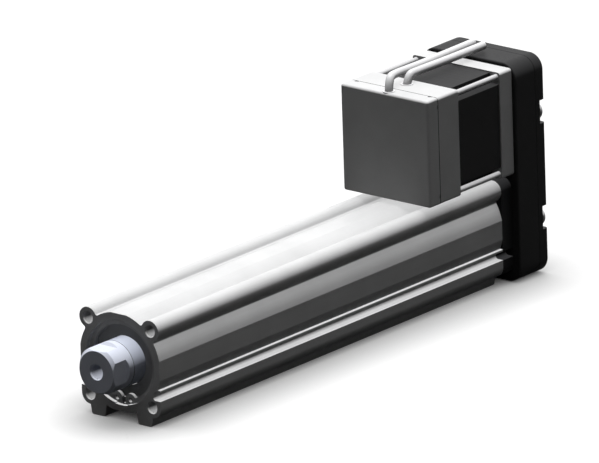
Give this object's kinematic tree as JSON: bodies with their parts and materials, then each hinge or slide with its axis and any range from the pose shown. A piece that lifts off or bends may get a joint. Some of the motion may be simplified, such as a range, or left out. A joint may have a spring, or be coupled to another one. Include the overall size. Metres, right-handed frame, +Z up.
{
  "type": "electric rod actuator",
  "caption": "Electric rod actuator: a motor above and parallel to a lobed aluminium tube drives a screw by belt, and pushes out a rod with a tapped socket.",
  "frame": {"origin": "on the rod's axis at the front face of the tube, in the middle of the four tapped holes", "axes": "+X the way the rod extends, +Z up through the motor, +Y the side that is on the right seen from behind the motor"},
  "size_m": [0.3232, 0.0612, 0.1246],
  "materials": {
    "tube_aluminium": "satin anodised, drawn",
    "cover_aluminium": "turned, grey anodised",
    "block_aluminium": "black anodised",
    "rod_chrome": "hard chrome, ground",
    "socket_steel": "turned, blue-white zinc",
    "ring_steel": "phosphated spring steel",
    "screw_steel": "ground",
    "bearing_steel": "polished",
    "bolt_steel": "blackened",
    "bright_steel": "bright nickel",
    "bush_bronze": "turned",
    "seal_rubber": "matte",
    "bumper_urethane": "satin",
    "guide_nylon": "moulded",
    "magnet_ferrite": "matte",
    "belt_rubber": "matte",
    "pulley_aluminium": "machined",
    "housing_black": "black painted casting",
    "motor_silver": "machined casting",
    "stack_black": "black coated laminations",
    "rotor_steel": "ground laminations",
    "coil_copper": "enamelled wire",
    "gasket_fibre": "matte",
    "board_laminate": "solder mask",
    "lead_sheath": "light grey sheath"
  },
  "bodies": {
    "actuator_body": {"tube_body": "tube_aluminium", "retaining_ring": "ring_steel", "rod_cover": "cover_aluminium", "cover_o_ring": "seal_rubber", "rod_seal": "seal_rubber", "rod_bushing": "bush_bronze", "front_bumper": "bumper_urethane", "rear_bumper": "bumper_urethane", "screw_bearing_cups": "bearing_steel", "bearing_block": "block_aluminium", "bearing_retainer": "bolt_steel", "timing_belt": "belt_rubber", "return_box": "housing_black", "return_plate": "housing_black", "return_plate_screws": "bright_steel", "box_bolts": "bolt_steel", "motor_bolts": "bolt_steel", "motor_gasket": "gasket_fibre", "motor_flange": "motor_silver", "motor_stack": "stack_black", "motor_coils": "coil_copper", "motor_end_block": "motor_silver", "motor_cover": "motor_silver", "motor_tie_bolts": "bright_steel", "motor_corner_screws": "bright_steel", "motor_bearing_cups": "bearing_steel", "encoder_board": "board_laminate", "cable_grommets": "seal_rubber", "cable_front": "lead_sheath", "cable_rear": "lead_sheath"},
    "rod": {"piston_rod": "rod_chrome", "rod_socket": "socket_steel", "piston": "pulley_aluminium", "wear_ring": "guide_nylon", "piston_magnet": "magnet_ferrite", "rotation_keys": "guide_nylon", "ball_nut": "screw_steel"},
    "screw": {"ball_screw": "screw_steel", "screw_support": "guide_nylon", "screw_bearing_cones": "bearing_steel", "screw_lock_nut": "bolt_steel", "screw_pulley": "pulley_aluminium"},
    "rotor": {"motor_shaft": "screw_steel", "motor_rotor": "rotor_steel", "motor_bearing_cones": "bearing_steel", "encoder_disc": "guide_nylon", "motor_pulley": "pulley_aluminium"}
  },
  "joints": [
    {"name": "rod_slide", "type": "slide", "parent": "actuator_body", "child": "rod", "axis": [1, 0, 0], "range_m": [0, 0.15], "deforming": ["timing_belt"]},
    {"name": "motor_spin", "type": "hinge", "parent": "actuator_body", "child": "rotor", "pos_m": [-0.25, 0, 0.05625], "axis": [-1, 0, 0], "range_deg": [0, 6750]},
    {"name": "screw_spin", "type": "hinge", "parent": "actuator_body", "child": "screw", "pos_m": [-0.25, 0, 0], "axis": [-1, 0, 0], "range_deg": [0, 6750]}
  ],
  "couplings": [
    {"joint": "screw_spin", "follows": "rod_slide", "rad_per_m": 785.4},
    {"joint": "motor_spin", "follows": "rod_slide", "rad_per_m": 785.4}
  ]
}
